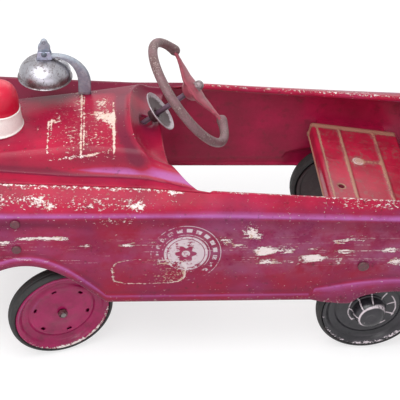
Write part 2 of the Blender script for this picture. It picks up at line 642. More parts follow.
def bellMetal():  # worn plating, pitted and brown on the crown and at the rim
    net = Net("BellMetal")
    cloud, grain, worn = net.noise(38, 5, 0.7), net.noise(240, 5, 0.74), net.attribute("wear")
    colour = net.mix((cloud * 0.6 + grain * 0.25 + worn * 0.5).above(0.54, 0.09), "bell", "bellWorn")
    pits = (net.noise(120, 5, 0.78) * 0.6 + grain * 0.4 + worn * 0.06).above(0.575, 0.03)
    colour = net.mix(pits * 0.75, colour, "pit")
    bump = grain * 0.35 + cloud * 0.5 - pits * 0.4
    return net.finish(colour, cloud * 0.25 + pits * 0.35 + 0.22, pits * -0.6 + 1.0, bump, 0.0002)


looks = {
    "body_paint": bodyPaint(),
    "inner_paint": wornPaint("InnerPaint", "inner", "innerDeep", -0.25, 0.38, 0.35, gain=0.1),
    "wheel_paint": wornPaint("WheelPaint", "wheel", "wheelDeep", -0.1, 0.22, 0.3, 1.3, "violet"),
    "cap_paint": capPaint(),
    "seat_paint": seatPaint(),
    "wheel_rim_paint": plainWorn("RimPaint", "rim", "rimGrey", 0.52, 0, 0.5, 1.2, spots="rimPale",
                                 spotShare=0.565),
    "cast_metal": plainWorn("BracketMetal", "plating", "platingPale", 0.46, 0.35, 0.52, spots="steel"),
    "tyre": plainWorn("Tyre", "rubber", "dusty", 0.68, 0, 0.58),
    "pedal_rubber": plainWorn("PedalRubber", "pedal", "dusty", 0.8),
    "worn_chrome": plainWorn("WornChrome", "chrome", "tarnish", 0.34, 0.95, 0.6, spots="rust",
                             spotShare=0.66),
    "bare_steel": plainWorn("BareSteel", "steel", "rust", 0.5, 0.6),
    "brass": plainWorn("Brass", "brass", "rust", 0.4, 0.9, 0.65),
    "beacon_cream": plainWorn("BeaconCream", "cream", "creamAged", 0.36, 0, 0.64, depth=0.0002, grime=0.08),
    "beacon_red": plainWorn("BeaconRed", "lens", "lensDeep", 0.34, 0, 0.62, depth=0.00008, grime=0.04),
    "bell": bellMetal(),
    "bar": wornPaint("BarPaint", "bar", "barDeep", 0.05, 0.42, 0.5, 1.6, chip="rimGrey"),
    "lug": plainWorn("LugMetal", "lug", "lugWorn", 0.48, 0.3, 0.56),
    "eye": plainWorn("EyeMetal", "eye", "eyeWorn", 0.6),
    "rivet": plainWorn("RivetMetal", "rivet", "rivetWorn", 0.45, 0.3),
    "plate": plainWorn("PlateMetal", "collar", "collarDark", 0.4, 0.5, 0.62),
    "innerBlack": plainWorn("InnerBlack", "innerBlack", "innerDust", 0.5),
    "nut": plainWorn("NutMetal", "nut", "nutDark", 0.42, 0.4, 0.54),
    "screw": plainWorn("ScrewPaint", "screw", "screwWorn", 0.45, 0, 0.5, 2),
    "shaft": plainWorn("ShaftPaint", "shaft", "shaftWorn", 0.42, 0.3, 0.52),
}
special = {"seat_bolts": "screw", "nose_screws": "screw", "steering_column": "shaft"}
for nodeName, node in frame["nodes"].items():
    node.data.materials.clear()
    node.data.materials.append(looks[special.get(nodeName, slotOf[nodeName])])
print("materials made")


def stamping(name, mesh, node, levels=1, wear=(), rule=None, sheen=None):
    thing = newObject(name, mesh, "body_paint", "chassis", node)
    mesh.materials.append(looks["inner_paint"])
    if rule:
        wearOn(thing, rule, wear)
    if sheen:
        wearOn(thing, sheen, name="sheen")
    subdivide(thing, levels)
    step = thicken(thing, shell["sheet"])
    step.material_offset, step.material_offset_rim = 1, 0


# side panels; where paint has come off: x, z, length, height and strength
bandSpots = [(386, 291, 14, 5, 0.76), (350, 301, 20, 4, 0.59), (308, 301, 26, 5, 0.71),
             (286, 300, 14, 4, 0.67), (244, 282, 12, 4, 0.84), (167, 284, 24, 6, 0.63),
             (185, 306, 12, 4, 0.42), (118, 288, 16, 5, 0.42), (-11, 290, 16, 9, 0.71),
             (-33, 280, 14, 4, 0.59), (-53, 311, 18, 9, 0.63), (-65, 299, 18, 7, 0.63),
             (-79, 265, 16, 9, 0.84), (-100, 270, 26, 6, 0.76), (-88, 242, 28, 6, 0.84),
             (-134, 267, 12, 7, 0.59), (-140, 240, 30, 3, 0.5), (-177, 249, 27, 8, 0.97),
             (-172, 272, 20, 5, 0.46), (-234, 264, 24, 4.5, 0.84), (-224, 242, 10, 9, 0.5),
             (-221, 288, 30, 9, 0.35), (-254, 295, 30, 9, 0.34), (-314, 268, 24, 4.5, 0.84),
             (-334, 238, 18, 9, 0.76), (-375, 262, 26, 8, 0.59), (-430, 255, 20, 8, 0.5),
             (99, 242, 14, 6, 0.34)]
sideWear = [(x, 214, z, long, high, k) for x, z, long, high, k in bandSpots]
sideWear += [(384, 200, 379, 20, 7, 0.75), (339, 200, 375, 26, 7, 0.8), (316, 203, 370, 12, 6, 0.7),
             (301, 205, 361, 5, 12, 0.6), (252, 203, 372, 30, 8, 0.45), (208, 203, 373, 26, 8, 0.65),
             (164, 205, 369, 18, 8, 0.6), (146, 206, 360, 14, 8, 0.5), (81, 199, 374, 13, 5, 1.3),
             (89, 180, 380, 5, 10, 0.5), (205, 213, 343, 22, 2.5, 0.9), (170, 213, 342, 16, 2.2, 0.6),
             (-120, 200, 372, 60, 7, 0.25), (-250, 190, 358, 60, 8, 0.3), (-330, 190, 352, 50, 8, 0.35)]


def edgeWear(p):  # the lip round the cockpit, the crease and the lower bead are rubbed
    y, onLip = abs(p.y), shell["openTip"] > p.x > -shell["deckX"] and abs(p.y) < beltY(p.x) - 3
    total = 0.3 * clamp((p.z - beltZ(p.x) + 3.5) / 3) * onLip
    total += 0.1 * hump(p.z - creaseAt(p.x), 4) + 0.12 * hump(p.z - edgeZ(p.x) - 6, 6)
    if p.x > 70 and p.z > 360:  # along the seam with the hood, and scattered over the shoulder
        total += 0.52 * hump(y - beltY(p.x) - 2, 2.6) + 0.22 * hump(y - 202, 9)
    return total


def sideSheen(p):  # light on the crease, the lower lip and the flare, shade under the crease
    crease, lip = creaseAt(p.x), lipZ(p.x)
    onLip = 0.6 + 0.2 * min(1, frontEdge(p.x) / 20) + 0.1 * (p.x < shell["tipX"])
    total = 1.05 * hump(p.z - crease - 2, 3.4) - hump(p.z - crease + 13, 9)
    total += onLip * hump(p.z - lip + 0.5, 2.2)
    return total - 0.55 * clamp((lip - 7 - p.z) / 6) - 0.4 * hump(p.z - lip - 9, 6)


for side, letter in bothSides:
    rows = [[(x, side * y, z) for y, z in sideSection(x)] for x in bodyStations()]
    shape = gridMesh("SidePanel", rows, {3: 0.5, 9: 0.3, 34: 0.2}, flip=side > 0)
    spots = [(x, side * y, *rest) for x, y, *rest in sideWear]
    stamping("Side_" + letter, shape, "side_panel_" + letter, 1, spots, edgeWear, sideSheen)

# hood, with the round hole for the steering shaft
shaft = dict(hub=(36, 0, 485), lean=40, hole=14, plateX=111)
shaftLine = Vector((cos(radians(shaft["lean"])), 0, -sin(radians(shaft["lean"]))))
hoodWear = [(216, 6, 422, 14, 5, 0.75), (203, 16, 423, 10, 6, 0.9), (194, 28, 424, 5, 8, 0.9),
            (192, 70, 418, 4, 14, 0.45), (292, 6, 412, 13, 3, 0.75), (306, 14, 411, 5, 4, 0.6),
            (270, 60, 410, 30, 16, 0.12), (210, -34, 420, 12, 8, 0.5), (262, -84, 405, 20, 7, 0.7),
            (254, -50, 412, 5, 12, 0.6), (240, 70, 414, 30, 16, 0.15), (230, 98, 398, 40, 5, 0.3)]


def hoodSheen(p):  # a band of light over the fold that widens to the cowl, and the dark fold under it
    x, y, fold, shoulder, bead = p.x, abs(p.y), foldY(p.x), shoulderY(p.x), beadX(p.y)
    rise, wide = (fold - y) / max(8, fold - shoulder), clamp((300 - x) / 190)
    total = 1.2 * hump(rise - 0.12 - 0.14 * wide, 0.08 + 0.13 * wide) * clamp((320 - x) / 90) * (x > 30)
    total -= 1.5 * hump(y - fold + 1.5, 5 - 2.5 * wide) * clamp((x - 45) / 20)
    total -= 0.45 * hump(y - fold + 12, 9) * (1 - wide)
    total -= 1.3 * hump(x - bead - 19, 12) * clamp((fold - y) / 20)
    if x < bead - 3:  # the dash is dark round the shaft's hole
        total -= 1.5 * hump(x - 128, 24) * hump(y, 40)
    total -= 1.1 * clamp((-p.y - 58) / 22) + 0.5 * clamp((x - 330) / 60) * (y < 60)
    return total - 0.35 * hump(y - shoulder - 16, 9) * clamp((300 - x) / 100) * (x > 60)


def hoodRub(p):
    return 0.12 * hump(p.x - beadX(p.y), 5) * (abs(p.y) < 120) - 0.04


edge = [hoodPoint(0, t) for t in hoodColumns]
rows = [[(x + 0.2, y * (1 + shell["lipSpread"] * k), slope(z, shell["lipFoot"], k)) for x, y, z in edge]
        for k in (1, 0.5, 0.1)]  # the front edge turns down to the nose
rows += [[hoodPoint(s, t) for t in hoodColumns] for s in hoodSteps]
hole = (shaft["hub"], shaftLine, shaft["hole"])
shape = gridMesh("HoodPanel", rows, {5: 0.8, len(hoodColumns) - 6: 0.8}, rounds=[hole])
stamping("Hood", shape, "hood_panel", 1, hoodWear, hoodRub, hoodSheen)

# deck behind the seat, rolled over into the tail
deck = dict(footZ=178, crown=10, flat=0.25, turned=0.7, lastTurn=80)


def deckPoint(s, u):
    radius, straight = shell["tailRoll"] + shell["sheet"] + shell["gap"], shell["tailX"] - shell["tailRoll"]
    turn = radians(deck["lastTurn"]) * clamp((s - deck["flat"]) / (deck["turned"] - deck["flat"]))
    down = max(0, (s - deck["turned"]) / (1 - deck["turned"]))
    x = at = -slope(shell["deckX"], straight, s / deck["flat"])
    if s >= deck["flat"]:
        x, at = -straight - radius * sin(turn), -straight - shell["tailRoll"] * sin(turn)
    tip = -shell["tailX"] + shell["tailCorner"] * 0.025
    at = max(at, tip)
    z = slope(shell["beltMidZ"] + 0.067 * at - radius * (1 - cos(turn)), deck["footZ"], down)
    half = beltY(at) - 0.5 + (shell["sideHalf"] - planIn(tip) - beltY(tip)) * min(1, down * 6)
    crown = 1 - u * u
    z += deck["crown"] * crown * (1 - down) * min(1, s * 4)
    return (x - crown * min(1, s / deck["turned"]), u * half, z)


deckSteps = [k / 40 for k in range(28)] + [0.7, 0.705, 0.715, 0.73, 0.745, 0.76]
deckSteps += [0.79 + 0.03 * k for k in range(8)]
rows = [[deckPoint(s, j / 16) for j in range(-16, 17)] for s in deckSteps]
shape = gridMesh("RearDeck", rows)
stamping("Deck", shape, "rear_deck", rule=lambda p: 0.2 * hump(p.z - 372, 5) * (p.x > -434))
low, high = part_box("seat_pan")
seatBack = dict(half=196, lean=5, lift=14, rows=6)
backFoot, backTop = low.z * 1000 + seatBack["lift"], deckPoint(0, 0)[2] - 1
rows = []
for k in range(seatBack["rows"] + 1):
    half, z = seatBack["half"] - seatBack["lean"] * k, slope(backFoot, backTop, k / seatBack["rows"])
    rows.append([(-shell["deckX"] - 1, u * half, z) for u in (-1, -0.6, 0, 0.6, 1)])
shape = gridMesh("SeatBack", rows)
thicken(newObject("SeatBack", shape, "inner_paint", "chassis"), shell["sheet"])

# nose stamping, with grille bars and two blank lamp rings
nose = dict(back=352, foot=150, top=338, bars=5, pitch=15, bar=7.5, wide=190, taper=3, low=182, flange=262,
            lampY=92, lampZ=296, gap=0.4)
half = shell["sideHalf"] - shell["creaseInset"] - shell["sheet"] - nose["gap"]
corner = shell["noseCorner"] - shell["sheet"] - nose["gap"]
middleX = shell["noseX"] - shell["noseCorner"] - 0.5
frontX = middleX + corner
barEnds = [nose["wide"] / 2 - nose["taper"] * i for i in range(nose["bars"])]
barFeet = [nose["low"] + i * nose["pitch"] for i in range(nose["bars"])]
plan = [(slope(nose["back"], middleX, k / 6), half) for k in range(6)]
plan += arc((middleX, half - corner), corner, 90, 6, 14)
plan += [(frontX, y) for y in (half - corner, 130, 110, *barEnds, 70, 50, 25, 0)]
plan += [(x, -y) for x, y in reversed(plan[:-1])]
heights = [nose["foot"], 166] + [z + k for z in barFeet for k in (0, nose["bar"])]
heights += [258, nose["flange"], 280, 300, 320, nose["top"]]


def noseGap(p):
    inBar = any(0 < p.z - z < nose["bar"] and abs(p.y) < end for z, end in zip(barFeet, barEnds))
    return p.z < nose["flange"] and p.x < middleX or inBar and p.x > middleX + 30


rows = [[(x, y, z) for z in heights] for x, y in plan]
stamping("Nose", gridMesh("NosePanel", rows, holes=noseGap), "nose_panel", 0)
ring = [(33, -0.4), (33, 2.6), (31, 3.9), (29.5, 4.4), (28, 3.9), (25, 2.2), (22, 1.6), (15, 2.8), (7, 3.3),
        (0, 3.4)]
for side, letter in bothSides:
    at = facing((frontX, side * nose["lampY"], nose["lampZ"]), (1, 0, 0))
    turnedPiece("LampCup_" + letter, ring, at, 72, "body_paint", "chassis")
print("body made")

# steering wheel: the rim is off its shaft, and a dished bar joins its two ends across the hub
wheelParts = dict(offset=66, radius=105.5, rod=8.3, turn=28.5, hubR=27, dish=9, steps=96, rows=34)
atHub = facing(shaft["hub"], -shaftLine)
wheelTurn = atHub @ Matrix.Rotation(radians(90 - wheelParts["turn"]), 4, "Z")
reach = degrees(acos(-wheelParts["offset"] / wheelParts["radius"])) + 4
halfBar = sqrt(wheelParts["radius"] ** 2 - wheelParts["offset"] ** 2)
steps = wheelParts["steps"]
rimLine = [(x, y, 0) for x, y in arc((wheelParts["offset"], 0), wheelParts["radius"], -reach, reach, steps)]
swell = [wheelParts["rod"] + 1.6 * hump(min(k, steps - k), 3) for k in range(steps + 1)]
shape = sweep("SteeringRim", rimLine, swell, wheelTurn, 24)
thing = newObject("SteeringRim", shape, "wheel_rim_paint", "steering", "steering_wheel")
wearOn(thing, lambda p: 0.1 * sin(p.x * 0.21) * cos(p.z * 0.17))


def barWidth(a):  # half width of the bar at a distance from the hub
    flare = 5.2 + 3.4 * clamp((60 - a) / 14)
    return max(flare, slope(8.6, wheelParts["hubR"], clamp((52 - a) / 34) ** 0.8)) if a < 60 else flare


def barPoint(y, a):
    w, drop = barWidth(abs(y)), wheelParts["dish"] * clamp((70 - abs(y)) / 46) ** 1.2
    u, v = copysign(abs(cos(a)) ** 0.6, cos(a)), copysign(abs(sin(a)) ** 0.75, sin(a))
    r = hypot(u * w, y)
    dome = (4.5 * hump(r, 11) + 2 * hump(r - 19, 3.2) * (abs(y) < 30)) * (1 if v > 0 else 0.6)
    return (u * w, y, v * slope(3, 5, clamp((60 - abs(y)) / 40)) - drop + dome)


around = turns(20)
count = wheelParts["rows"]
rows = [[barPoint(halfBar * k / count, a) for a in around + around[:1]] for k in range(-count, count + 1)]
bar = gridMesh("SteeringBar", rows)
bar.transform(wheelTurn)
thing = newObject("SteeringBar", bar, "bar", "steering")
subdivide(thing, 1)
thing.modifiers.new("Weld", "WELD").merge_threshold = 0.0002
wearOn(thing, lambda p: 0.25 * sin(p.y * 0.23 + p.x * 0.2))


def hexNut(name, matrix, across, height, look, body, node, bore=0):
    inset = across * 0.86
    profile = [(bore, 0), (inset, 0), (across, 0.8), (across, height - 0.8), (inset, height), (bore, height)]
    nut = lathe(name, profile, matrix, 6, closed=bore > 0)
    rounded(newObject(name, nut, look, body, node, smooth=False), 0.5, 2, 25)


# nuts: a domed one on the shaft, castle ones on the spindles
nuts = dict(sunk=7, across=10.8, high=9.5, castleAcross=9.4, castleHigh=5.5, bore=5.1, lean=16.5)
at = atHub @ moved(0, 0, -nuts["sunk"])
hexNut("SteeringNut", at, nuts["across"], nuts["high"], "nut", "steering", "steering_nut")
dome = [(9.4, 2.3), (9.2, 4.6), (8.2, 7.4), (6.2, 9.6), (3.4, 11), (0, 11.4)]
turnedPiece("NutDome", dome, atHub, 40, "nut", "steering", slot="cast_metal")
boss = [(8.2, -10), (24, -10), (26.2, -10.6), (26.6, -12.2), (24.6, -14.4), (21.5, -16.8), (19.5, -20.2),
        (16, -24.6), (12.4, -27.4), (8.2, -28)]
turnedPiece("SteeringHub", boss, atHub, 64, "bar", "steering", slot="wheel_rim_paint", closed=True)
castle = [(nuts["bore"], 5), (8.2, 5), (8.2, 7.6), (7.4, 8.2), (nuts["bore"], 8.2)]
frontLean = radians(nuts["lean"])  # the front wheels stand turned to the left


def axleLine(side, lean):
    return Vector((-sin(lean), cos(lean), 0)) * side


def castleGap(a, b, turn):
    return a[1] > 5 and b[1] > 5 and int(turn * 12 / pi) % 4 == 0


for side, letter in bothSides:
    low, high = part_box("spindle_nut_" + letter)
    along, knuckle = axleLine(side, frontLean), "knuckle_" + letter
    at = facing((low + high) * 500 - along * 4, along, (0, 0, 1))
    hexNut("SpindleNut_" + letter, at, nuts["castleAcross"], nuts["castleHigh"], "screw", knuckle,
           "spindle_nut_" + letter, nuts["bore"])
    turnedPiece("SpindleCollar_" + letter, castle, at, 36, "screw", knuckle, slot="bare_steel", closed=True,
                gaps=castleGap)

# collar plate on the shaft, dished towards the driver
collar = dict(bore=8, boss=12.5, radius=40.5, deep=11, inner=14)
radius, deep, inner = collar["radius"], collar["deep"], collar["inner"]
profile = [(collar["boss"], -deep), (collar["boss"] + 1, -1)]
profile += [(slope(inner, radius, k / 10), 0.6 + (deep - 2.4) * (k / 10) ** 1.8) for k in range(11)]
profile += [(radius + 0.2, deep - 1.2), (radius, deep - 0.2), (radius - 1, deep)]
profile += [(slope(inner, radius - 2, k / 10), 3.6 + (deep - 4.4) * (k / 10) ** 1.8)
            for k in range(10, -1, -1)]
profile += [(collar["boss"], 3.4), (9.6, 2.2), (collar["bore"], 1.4), (collar["bore"], -deep)]
atPlate = atHub @ moved(0, 0, (shaft["hub"][0] - shaft["plateX"]) / cos(radians(shaft["lean"])))
thing = turnedPiece("CollarPlate", profile, atPlate, 72, "plate", "steering", "collar_plate", closed=True)
wearOn(thing, lambda p: 0.9 * clamp((35 - fromAxis(p, (shaft["hub"], shaftLine)).length) / 5))
print("steering made")

# wheels: rubber tyre, pressed disc with a dished web, and a hub tube
wheelSizes = dict(outer=101.6, sheet=2.2, frontX=352)
tread = [(81.9, 0), (81.9, 9.6), (91.6, 10.4), (92.6, 13.6), (93.4, 15.2), (94.6, 15.8), (95.8, 15.2),
         (96.6, 14.3), (97.4, 13.8), (98.6, 12.6), (100, 10.6), (100.9, 8.2), (101.3, 5.8), (100.5, 5.4),
         (100.5, 4.6), (101.4, 4.2), (101.6, 1.6), (101.6, 0.9), (100.8, 0.5), (100.8, 0)]
tread += [(r, -z) for r, z in reversed(tread[1:-1])]
web = [(91.4, 11.6), (91.4, 13.4), (90.6, 15), (89, 15.7), (87, 15.2), (84.6, 13.6), (82, 11), (79.6, 7.6),
       (77.6, 4.8), (74.6, 3.4), (71.4, 2.4), (68.6, 1.8), (66.4, 2.2), (64.4, 3.6), (62.2, 5.2), (59.8, 6),
       (57.4, 6.1), (55.5, 5.9), (53, 5.6), (50.5, 5.5), (46, 5.5), (40, 5.8), (34, 6.5), (29, 7.5),
       (25, 8.3), (21, 8.7), (16, 8.9), (11, 9), (5.2, 9)]
flange = [(88.9, -11.6), (88.9, -13.2), (87.6, -15), (85, -14.8), (82, -12.6), (79.5, -11), (79, -8),
          (76, -6.4), (64, -6), (40, -6), (12, -6)]
hubTube = [(5.2, 8.6), (12, 8.6), (12, -24), (5.2, -24)]
hubcap = [(35.5, 6.4), (35.5, 7.8), (33.6, 8.8), (32.2, 10.4), (31.6, 15), (30.8, 20), (29.4, 25),
          (27.2, 29.4), (23.8, 33.2), (19.5, 35.3), (14, 36.4), (10.5, 36.3), (8.6, 35.6), (6, 35.4),
          (0, 35.6)]
slots = dict(low=50.6, high=55.4, turn=-14, wide=5.2)


def slotAt(a, b, turn):  # six short slots through the web
    off = (degrees(turn) - slots["turn"] + 30) % 60 - 30
    return slots["low"] - 0.2 <= b[0] and a[0] <= slots["high"] + 0.2 and abs(off) < slots["wide"]


def discRadius(p):
    return (middle @ (p / 1000)).xy.length * 1000


def dishSheen(p):  # light on the upper part of the dish's two rings
    r, turn = discRadius(p), atan2(p.z - wheelSizes["outer"], p.x - wheelSizes["frontX"])
    arcs = hump(r - 57, 3.4) * wave(turn, 1.05, 1.1) + 0.9 * hump(r - 33, 5) * wave(turn, 1.0, 0.8)
    return 1.25 * arcs + 0.4 * hump(r - 86, 2) * wave(turn, 1.4, 1.6)


def rimWear(p):  # more towards the floor, and on the front wheels towards the cockpit
    low = clamp(0.55 - p.z / 190 + 0.25 * (end == "front" and p.x < 300))
    return (0.34 + 0.62 * low) * clamp((discRadius(p) - 82) / 4) - 0.1


for end, side, letter in [(end, *pair) for end in ("front", "rear") for pair in bothSides]:
    wheel, front = end + "_%s_" + letter, end == "front"
    low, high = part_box(wheel % "tyre")
    along = axleLine(side, frontLean if front else 0)
    at = facing((low + high) * 500, along, (0, 0, 1))
    middle = at.inverted()
    body = "front_wheel_" + letter if front else "rear_axle" if side > 0 else "rear_wheel_right"
    tail = "_%s_%s" % (end, letter)
    slot = "wheel_paint" if front else "cap_paint"
    turnedPiece("Tyre" + tail, tread, at, 128, "tyre", body, wheel % "tyre", closed=True)
    gaps = slotAt if front else None
    thing = turnedPiece("Disc" + tail, web, at, 144, slot, body, wheel % "disc", gaps=gaps)
    wearOn(thing, rimWear)
    if front:
        wearOn(thing, dishSheen, name="sheen")
    outward = sum(face.normal.dot(along) * face.area for face in thing.data.polygons)
    thicken(thing, wheelSizes["sheet"], 1.0 if outward < 0 else -1.0)
    behind = slot if front else "innerBlack"
    turnedPiece("Flange" + tail, flange, at, 96, behind, body, slot=slot)
    turnedPiece("Hub" + tail, hubTube, at, 48, behind, body, slot=slot, closed=True)
    if not front:
        turnedPiece("Hubcap_" + letter, hubcap, at, 96, "cap_paint", body, "hubcap_" + letter)
print("wheels made")

# seat: a pressed sheet with a rolled front edge, raised cross ribs and long creases
seat = dict(front=(-232, 0, 265), fall=8, long=186, half=196, sheet=1.7, edge=5, spot=(-29, 18), hole=6.8,
            ribs=(-56, -133), ribHigh=2.6, ribWide=3.4, creases=(-135, -70, 70, 135), creaseHigh=1.0,
            stud=(-81, -73), rowStep=2.6, columnStep=2.9)
atSeat = moved(*seat["front"]) @ Matrix.Rotation(radians(-seat["fall"]), 4, "Y")
fromSeat = atSeat.inverted()


def onSeat(x, y, z):
    return atSeat @ mm(x, y, z) * 1000


def seatRise(x, y):  # height of the pressed pattern over the flat sheet
    a, fromRib = abs(y), min(abs(x - at) for at in seat["ribs"])
    rib = hump(fromRib, seat["ribWide"]) * seat["ribHigh"] * clamp((187 - a) / 5)
    long = hump(min(abs(y - at) for at in seat["creases"]), 1.7) * seat["creaseHigh"]
    long *= clamp((fromRib - 8) / 3) * clamp((-12 - x) / 4)
    gap = hypot(x - seat["stud"][0], y - seat["stud"][1])
    dish = 1.4 * clamp((a - 181) / 3) * clamp((188 - a) / 3)
    return rib + long - dish + 0.9 * hump(gap - 9, 1.6) + 1.3 * hump(gap, 4)


path = [(-seat["long"] + k * seat["rowStep"], 0) for k in range(70)]
path += [(seat["edge"] * (sin(a) - 1), seat["edge"] * (cos(a) - 1)) for a in (0, 0.4, 0.8, 1.2, 1.571)]
path += [(0, -10), (0, -16), (0, -21), (0.4, -22.5), (1.4, -23.6), (1.6, -25.2), (0.4, -26.4), (-1, -26)]
ends = [(seat["half"], 0.6), (seat["half"] + 0.4, 7)]  # the side edges turn down
across = [(-y, drop) for y, drop in reversed(ends)]
across += [(k * seat["columnStep"], 0) for k in range(-67, 68)] + ends
rows = [[onSeat(x, y, z - drop + (seatRise(x, y) if z == 0 and not drop else 0)) for y, drop in across]
        for x, z in path]
upright = (onSeat(0, 0, 1) - onSeat(0, 0, 0)).normalized()
shape = gridMesh("SeatPan", rows, rounds=[(onSeat(*seat["spot"], 0), upright, seat["hole"])])
thing = newObject("SeatPan", shape, "seat_paint", "chassis", "seat_pan")


def seatWear(p):  # worn on the ribs, along the side flanges, round the hole and at the front edge
    x, y, z = (fromSeat @ (p / 1000)) * 1000
    gap, stud = (hypot(x - at[0], y - at[1]) for at in (seat["spot"], seat["stud"]))
    total = 0.9 * hump(min(abs(x - at) for at in seat["ribs"]), 3.2)
    total += 1.3 * clamp((abs(y) - 178) / 5) + 0.6 * clamp((y - 60) / 90) * clamp((-56 - x) / 30)
    total += 1.4 * clamp((seat["hole"] + 3.2 - gap) / 2) + 0.7 * hump(stud, 16)
    total += hump(x + 9, 2.2) * (z > -2) + 0.9 * (z < -22) - 0.6 * (x > -5 and z > -20)
    return total + 0.6 * hump(y + 74, 5) * (seat["ribs"][1] < x < seat["stud"][0])


wearOn(thing, seatWear)
thicken(thing, seat["sheet"])

# bell: a dome under a curved arm, whose lever swings a clapper inside
bell = dict(x=320, y=-80, z=459, high=36, radius=49.5, sheet=1.4, slot=(15, 4.6), top=495.3, deep=6.2,
            pin=506, lug=7.5, lugSheet=3)
crown = [(bell["radius"] * sin(radians(a)), bell["high"] * cos(radians(a))) for a in range(0, 91, 3)]
crown += [(49.7, -2), (49.9, -3.6), (50.6, -4.6), (51.6, -5), (52, -5.4), (51.8, -6)]
atBell = moved(bell["x"], bell["y"], 0)
upright = facing((bell["x"], bell["y"], 0), (0, -1, 0), (0, 0, 1))


def slotThrough(a, b, turn):
    r = (a[0] + b[0]) / 2
    return abs(r * cos(turn)) < bell["slot"][0] and abs(r * sin(turn)) < bell["slot"][1]


atDome = atBell @ moved(0, 0, bell["z"])
thing = turnedPiece("BellDome", crown, atDome, 144, "bell", "chassis", "bell_dome", gaps=slotThrough)
wearOn(thing, lambda p: 0.3 * clamp((472 - p.z) / 12) + 0.22 * clamp((p.z - 482) / 10))
thicken(thing, bell["sheet"])

arm = dict(width=12, back=86.5, inner=62.4, bend=20, low=436, lowInner=441, front=12, foot=(414.2, 416.6))
top = bell["top"]
line = [((x, top + bell["deep"]), (x, top)) for x in (arm["front"], arm["front"] - 16)]
for s, c in [(sin(radians(a)), cos(radians(a))) for a in range(0, 91, 3)]:
    line.append(((-slope(arm["bend"], arm["back"], s), slope(arm["low"], top + bell["deep"], c)),
                 (-slope(arm["bend"], arm["inner"], s), slope(arm["lowInner"], top, c))))
line += [((-arm["back"], slope(arm["low"], arm["foot"][0], k / 3)),
          (-arm["inner"], slope(arm["lowInner"], arm["foot"][1], k / 3))) for k in (1, 2, 3)]
flatRing = [(-1, -0.55), (-1, 0.55), (-0.9, 0.86), (-0.66, 1), (-0.3, 0.86), (0.3, 0.86), (0.66, 1),
            (0.9, 0.86), (1, 0.55), (1, -0.55), (0.9, -0.86), (0.66, -1), (-0.66, -1), (-0.9, -0.86)]
rings = [[(slope(ix, ox, (v + 1) / 2), u * arm["width"] / 2, slope(iz, oz, (v + 1) / 2)) for u, v in flatRing]
         for (ox, oz), (ix, iz) in line]
thing = newObject("BellArm", loft("BellArm", rings, atBell), "cast_metal", "chassis", "bell_bracket")
wearOn(thing, lambda p: 0.5 * clamp((421 - p.z) / 4))
lug = [(14.6, top - 1), (14.2, 498), (10.6, 509.6), (9.6, 510.6)]
lug += [(-x, y) for x, y in reversed(lug)]
for side, name in ((-1, "BellLugNear"), (1, "BellLugFar")):
    low, high = side * bell["lug"] - bell["lugSheet"] / 2, side * bell["lug"] + bell["lugSheet"] / 2
    shape = plate(name, lug, low, high, upright)
    rounded(newObject(name, shape, "lug", "chassis", smooth=False), 0.5)

# lever: a rounded body on the pin, narrowing to a knob with a hole, and the clapper under it
half = [(6, -5.5), (9.5, 2), (11.4, 8)] + [(11.5 * cos(a), 10 + 11.5 * sin(a)) for a in (0.1, 0.35, 0.6, 0.8)]
knob = [(6 * cos(a), 22 + 6 * sin(a)) for a in [0.3 + 0.254 * k for k in range(11)]]
outline = [(x, z + bell["pin"]) for x, z in half + knob + [(-x, z) for x, z in reversed(half)]]
shape = plate("BellLever", outline, -4, 4, upright)
thing = newObject("BellLever", shape, "cast_metal", "bell_lever", "bell_lever", smooth=False)
rounded(thing, 1.6, 3, 35)
ballAt = (33, 0, 470)
wire = [(0, 0, bell["pin"] - 4), (0, 0, 480), (0.6, 0, 474), (3, 0, 471), (7, 0, 470), ballAt]
shape = sweep("BellClapper", wire, [2.2] * len(wire), atBell, 16)
newObject("BellClapper", shape, "bare_steel", "bell_lever")
ball = [(0, -6)] + [(6 * cos(a), 6 * sin(a)) for a in [-1.4 + 0.2 * k for k in range(15)]] + [(0, 6)]
at = atBell @ moved(*ballAt)
turnedPiece("BellBall", ball, at, 32, "bare_steel", "bell_lever")
eye = [(2.1, -4.1), (2.8, -4.15), (3, -3.9), (3, 3.9), (2.8, 4.15), (2.1, 4.1), (0, 2.6)]
at = upright @ moved(0, bell["pin"] + 22, 0)
turnedPiece("LeverEye", eye, at, 28, "eye", "bell_lever", slot="cast_metal")
pin = [(0, 12.6), (2.4, 12.3), (4.4, 11.4), (5.4, 10.2), (5.5, 9.1), (2.45, 9.1)]
pin = [(r, -z) for r, z in pin] + pin[::-1]
turnedPiece("BellRivet", pin, upright @ moved(0, bell["pin"], 0), 32, "rivet", "chassis", "bell_rivet")
print("seat and bell made")

# beacon: a pale base cut to the hood's slope, and a red lens
beacon = dict(x=402, y=6, lean=0.118, lens=37.1, lensFoot=445, lensHigh=45.7, steps=96)
base = [(44.2, 398.2, 1), (44.4, 399.6, 1), (43.8, 400.8, 1), (42.8, 402, 1), (42.5, 404, 0.9),
        (41.7, 412, 0.5), (40.6, 422, 0.15), (39.5, 432, 0), (39.1, 436.5, 0), (39.3, 437.6, 0),
        (39.3, 439, 0), (38.7, 439.9, 0), (36, 440.1, 0)]  # radius, height and share of the slope
atBeacon = moved(beacon["x"], beacon["y"], 0)
rings = [[(r * cos(a), r * sin(a), z - tilt * beacon["lean"] * r * cos(a)) for a in turns(beacon["steps"])]
         for r, z, tilt in base]
shape = loft("BeaconBase", rings, atBeacon)
thing = newObject("BeaconBase", shape, "beacon_cream", "chassis", "beacon_base")
wearOn(thing, lambda p: 0.3 * clamp((404 - p.z) / 5))
dome = [(36, 440.2), (37.6, 440.4), (37.9, 441.6), (37.6, 443.2), (37.1, 444.6)]
